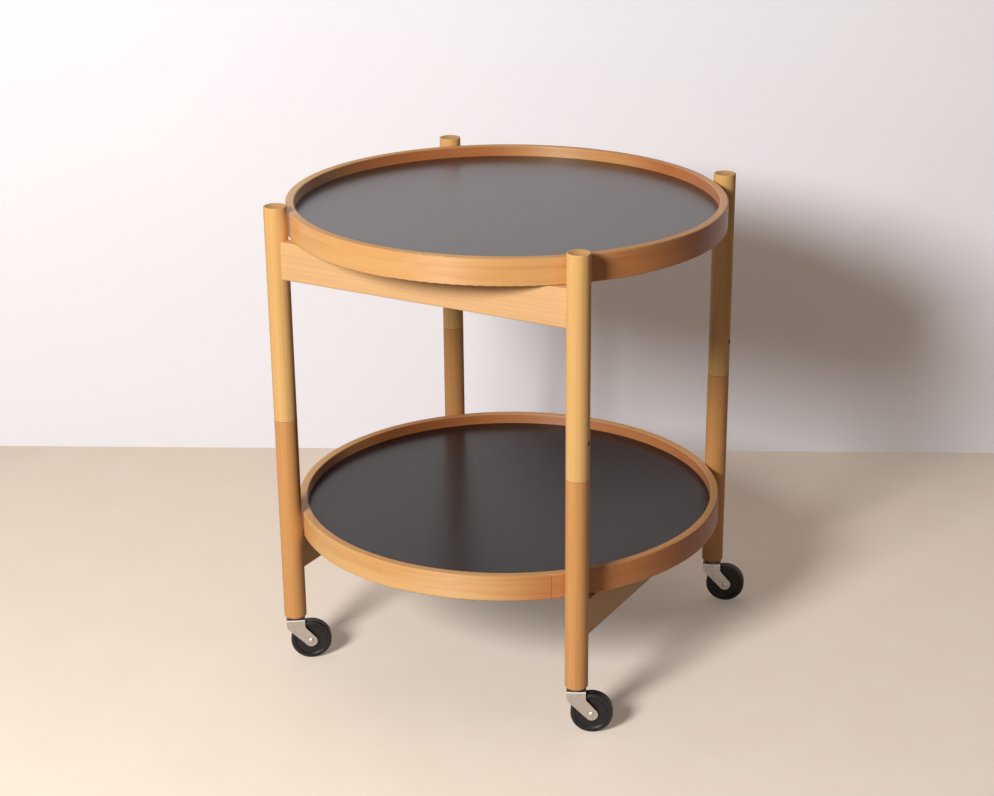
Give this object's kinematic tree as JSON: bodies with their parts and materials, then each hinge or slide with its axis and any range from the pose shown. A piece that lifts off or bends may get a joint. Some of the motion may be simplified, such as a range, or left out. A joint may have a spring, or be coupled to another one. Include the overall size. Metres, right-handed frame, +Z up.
{
  "type": "room service table",
  "caption": "Two-tier round serving table with lift-off trays on a folding frame of split round legs, rolling on swivel castors.",
  "frame": {"origin": "on the floor, below the middle of the trays", "axes": "+X along the front and back rails, +Y along the left and right rails, towards the back, +Z up"},
  "size_m": [0.58, 0.58, 0.641],
  "materials": {
    "beech_light": "clear satin lacquer on golden beech",
    "beech_deep": "clear satin lacquer on warmer, more orange beech",
    "beech_rail": "clear satin lacquer on pale beech",
    "beech_rim": "clear satin lacquer on bent beech",
    "laminate": "satin black laminate",
    "steel": "bright drawn steel",
    "zinc": "dull, slightly warm zinc plate",
    "nylon": "natural nylon",
    "black_plastic": "moulded black plastic",
    "black_rubber": "smooth black tyre"
  },
  "bodies": {
    "left_ladder": {"left_rail": "beech_light", "lower_leg_front_left": "beech_deep", "pivot_pin_front_left": "steel", "pivot_washer_front_left": "nylon", "castor_socket_front_left": "zinc", "lower_leg_back_left": "beech_deep", "pivot_pin_back_left": "steel", "pivot_washer_back_left": "nylon", "castor_socket_back_left": "zinc"},
    "front_ladder": {"front_rail": "beech_rail", "upper_leg_front_left": "beech_light", "retaining_pin_front_left": "steel", "upper_leg_front_right": "beech_light", "retaining_pin_front_right": "steel"},
    "back_ladder": {"back_rail": "beech_rail", "upper_leg_back_left": "beech_light", "retaining_pin_back_left": "steel", "upper_leg_back_right": "beech_light", "retaining_pin_back_right": "steel"},
    "right_ladder": {"right_rail": "beech_light", "lower_leg_front_right": "beech_deep", "pivot_pin_front_right": "steel", "pivot_washer_front_right": "nylon", "castor_socket_front_right": "zinc", "lower_leg_back_right": "beech_deep", "pivot_pin_back_right": "steel", "pivot_washer_back_right": "nylon", "castor_socket_back_right": "zinc"},
    "upper_tray": {"upper_tray_rim": "beech_rim", "upper_tray_panel": "laminate"},
    "lower_tray": {"lower_tray_rim": "beech_rim", "lower_tray_panel": "laminate"},
    "castor_front_left": {"castor_fork_front_left": "zinc", "castor_stem_front_left": "zinc", "castor_axle_front_left": "zinc"},
    "wheel_front_left": {"wheel_hub_front_left": "black_plastic", "wheel_tyre_front_left": "black_rubber"},
    "castor_front_right": {"castor_fork_front_right": "zinc", "castor_stem_front_right": "zinc", "castor_axle_front_right": "zinc"},
    "wheel_front_right": {"wheel_hub_front_right": "black_plastic", "wheel_tyre_front_right": "black_rubber"},
    "castor_back_right": {"castor_fork_back_right": "zinc", "castor_stem_back_right": "zinc", "castor_axle_back_right": "zinc"},
    "wheel_back_right": {"wheel_hub_back_right": "black_plastic", "wheel_tyre_back_right": "black_rubber"},
    "castor_back_left": {"castor_fork_back_left": "zinc", "castor_stem_back_left": "zinc", "castor_axle_back_left": "zinc"},
    "wheel_back_left": {"wheel_hub_back_left": "black_plastic", "wheel_tyre_back_left": "black_rubber"}
  },
  "joints": [
    {"name": "front_fold", "type": "hinge", "parent": "left_ladder", "child": "front_ladder", "pos_m": [-0.21673, -0.21673, 0.352], "axis": [0, 0, 1], "range_deg": [-0.2, 0.2]},
    {"name": "back_fold", "type": "hinge", "parent": "left_ladder", "child": "back_ladder", "pos_m": [-0.21673, 0.21673, 0.352], "axis": [0, 0, 1], "range_deg": [-0.2, 0.2]},
    {"name": "right_fold", "type": "hinge", "parent": "front_ladder", "child": "right_ladder", "pos_m": [0.21673, -0.21673, 0.352], "axis": [0, 0, 1], "range_deg": [-0.2, 0.2]},
    {"name": "upper_tray_lift", "type": "slide", "parent": "front_ladder", "child": "upper_tray", "axis": [0, 0, 1], "range_m": [0, 0.2]},
    {"name": "lower_tray_lift", "type": "slide", "parent": "left_ladder", "child": "lower_tray", "axis": [0, 0, 1], "range_m": [0, 0.325]},
    {"name": "castor_swivel_front_left", "type": "hinge", "parent": "left_ladder", "child": "castor_front_left", "pos_m": [-0.21673, -0.21673, 0.063], "axis": [0, 0, 1], "continuous": true},
    {"name": "wheel_roll_front_left", "type": "hinge", "parent": "castor_front_left", "child": "wheel_front_left", "pos_m": [-0.20015, -0.20554, 0.0275], "axis": [-0.5592, 0.829, 0], "continuous": true},
    {"name": "castor_swivel_front_right", "type": "hinge", "parent": "right_ladder", "child": "castor_front_right", "pos_m": [0.21673, -0.21673, 0.063], "axis": [0, 0, 1], "continuous": true},
    {"name": "wheel_roll_front_right", "type": "hinge", "parent": "castor_front_right", "child": "wheel_front_right", "pos_m": [0.23485, -0.20828, 0.0275], "axis": [-0.4226, 0.9063, 0], "continuous": true},
    {"name": "castor_swivel_back_right", "type": "hinge", "parent": "right_ladder", "child": "castor_back_right", "pos_m": [0.21673, 0.21673, 0.063], "axis": [0, 0, 1], "continuous": true},
    {"name": "wheel_roll_back_right", "type": "hinge", "parent": "castor_back_right", "child": "wheel_back_right", "pos_m": [0.23552, 0.22357, 0.0275], "axis": [-0.342, 0.9397, 0], "continuous": true},
    {"name": "castor_swivel_back_left", "type": "hinge", "parent": "left_ladder", "child": "castor_back_left", "pos_m": [-0.21673, 0.21673, 0.063], "axis": [0, 0, 1], "continuous": true},
    {"name": "wheel_roll_back_left", "type": "hinge", "parent": "castor_back_left", "child": "wheel_back_left", "pos_m": [-0.19941, 0.22673, 0.0275], "axis": [-0.5, 0.866, 0], "continuous": true}
  ],
  "couplings": [
    {"joint": "back_fold", "follows": "front_fold", "ratio": 1},
    {"joint": "right_fold", "follows": "front_fold", "ratio": -1}
  ]
}
